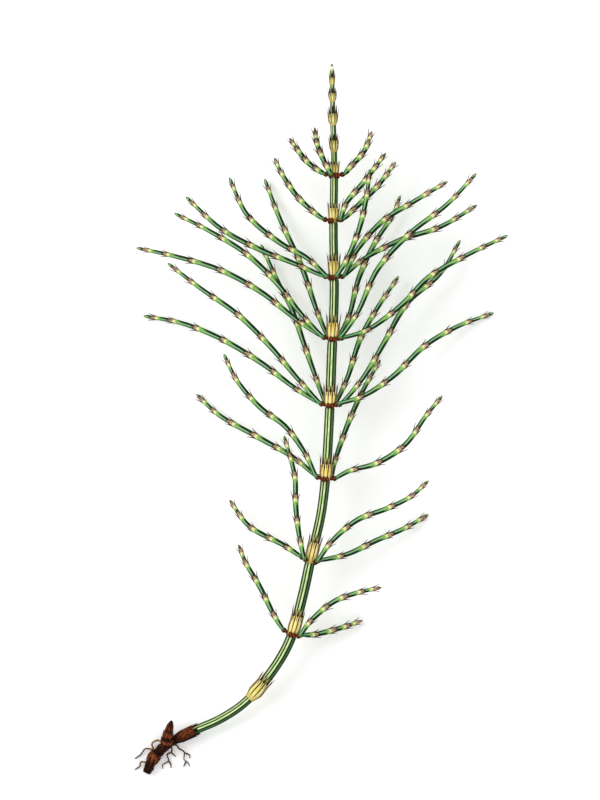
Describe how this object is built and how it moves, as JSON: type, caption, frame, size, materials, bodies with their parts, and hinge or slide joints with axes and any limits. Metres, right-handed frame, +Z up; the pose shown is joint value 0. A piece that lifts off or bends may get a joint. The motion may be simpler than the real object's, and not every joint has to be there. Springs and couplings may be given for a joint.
{
  "type": "horsetail plant",
  "caption": "Leafless green horsetail shoot lying down: a jointed ridged stem with toothed sheaths, whorls of thin jointed branches and a short dark rhizome with rootlets.",
  "frame": {"origin": "middle of the plant's bounding box, on the surface that it lies on", "axes": "+Y from the rhizome towards the tip of the shoot, +Z up from the surface, +X to the right"},
  "size_m": [0.1123, 0.2135, 0.0256],
  "materials": {
    "stem": "living light green stem, ridged, satin",
    "sheath": "dry papery yellow leaf sheath with dark teeth",
    "branch": "living green branch, satin",
    "rhizome": "dark brown fibrous skin, matte",
    "brown_sheath": "reddish-brown papery sheath, matte"
  },
  "bodies": {
    "root": {"rhizome": "rhizome", "rhizome_sheath": "brown_sheath", "stem": "stem", "sheath_lowest": "sheath", "sheath_whorl_8": "sheath", "sheath_whorl_7": "sheath", "sheath_whorl_6": "sheath", "sheath_whorl_5": "sheath", "sheath_whorl_4": "sheath", "sheath_whorl_3": "sheath", "sheath_whorl_2": "sheath", "sheath_whorl_1": "sheath", "branch_whorl_8_left_1": "branch", "branch_whorl_8_right_1": "branch", "branch_whorl_8_right_2": "branch", "branch_whorl_7_left_1": "branch", "branch_whorl_7_left_2": "branch", "branch_whorl_7_right_1": "branch", "branch_whorl_7_right_2": "branch", "branch_whorl_6_left_1": "branch", "branch_whorl_6_left_2": "branch", "branch_whorl_6_right_1": "branch", "branch_whorl_6_right_2": "branch", "branch_whorl_5_left_1": "branch", "branch_whorl_5_left_2": "branch", "branch_whorl_5_left_3": "branch", "branch_whorl_5_right_1": "branch", "branch_whorl_5_right_2": "branch", "branch_whorl_5_right_3": "branch", "branch_whorl_4_left_1": "branch", "branch_whorl_4_left_2": "branch", "branch_whorl_4_left_3": "branch", "branch_whorl_4_right_1": "branch", "branch_whorl_4_right_2": "branch", "branch_whorl_4_right_3": "branch", "branch_whorl_3_left_1": "branch", "branch_whorl_3_left_2": "branch", "branch_whorl_3_right_1": "branch", "branch_whorl_3_right_2": "branch", "branch_whorl_3_right_3": "branch", "branch_whorl_2_left_1": "branch", "branch_whorl_2_right_1": "branch", "branch_whorl_2_right_2": "branch", "branch_whorl_1_left_1": "branch", "branch_whorl_1_left_2": "branch", "branch_whorl_1_right_1": "branch"}
  },
  "joints": []
}
